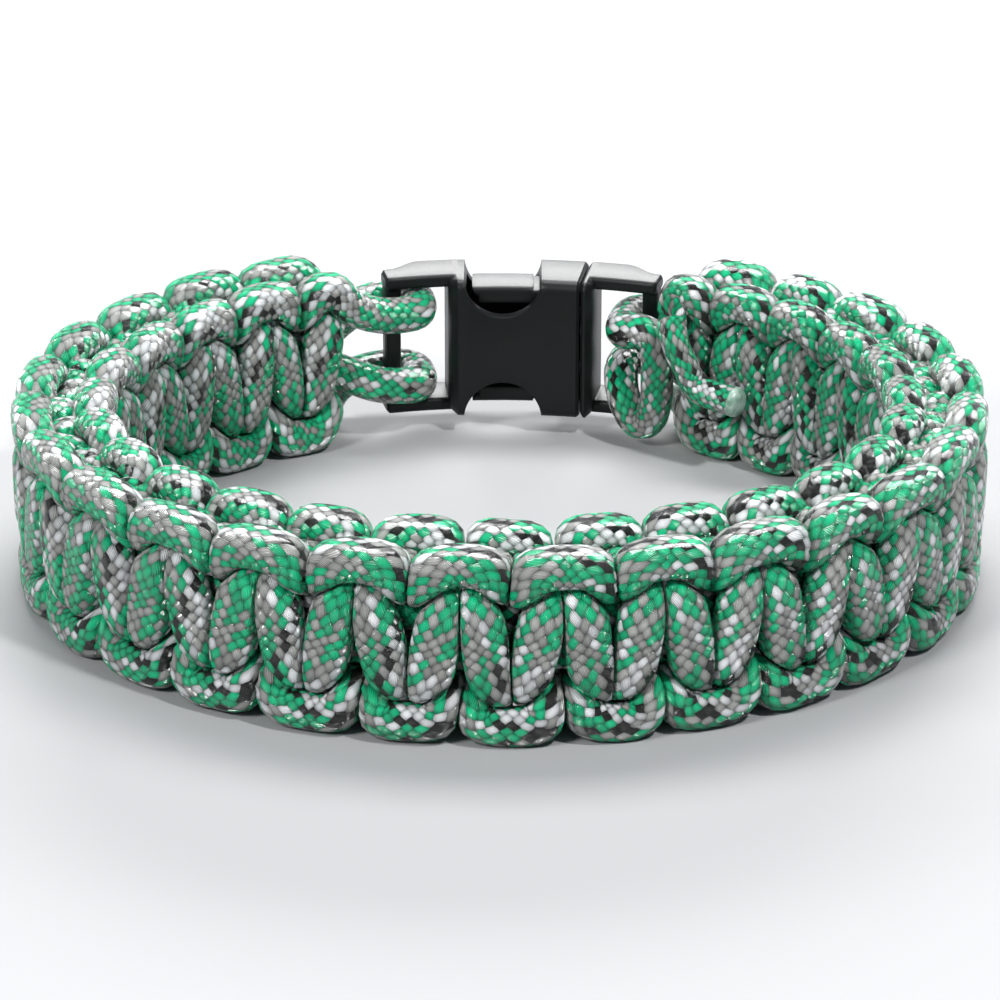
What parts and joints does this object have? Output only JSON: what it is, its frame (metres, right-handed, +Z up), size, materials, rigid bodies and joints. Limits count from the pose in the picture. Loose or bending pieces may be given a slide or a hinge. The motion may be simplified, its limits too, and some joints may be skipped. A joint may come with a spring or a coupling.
{
  "type": "paracord bracelet",
  "caption": "Closed wristband of round cord tied in a flat weave around hidden core strands, joined by a curved side-release buckle of moulded plastic.",
  "frame": {"origin": "on the table under the middle of the bracelet's box, with the bracelet lying on its edge", "axes": "+X runs from side to side, towards the buckle's prong half; +Y points to the buckle and -Y to the front of the band; +Z points up, across the band"},
  "size_m": [0.094, 0.0776, 0.0193],
  "materials": {
    "cord": "braided sheath of green, white and grey yarns with black tracers, slightly glossy",
    "buckle": "black moulded plastic, fine grain"
  },
  "bodies": {
    "root": {"face_cord": "cord", "back_cord": "cord", "core_strand_top": "cord", "core_strand_bottom": "cord", "bar_turn": "cord", "buckle_socket": "buckle", "buckle_prongs": "buckle"}
  },
  "joints": []
}
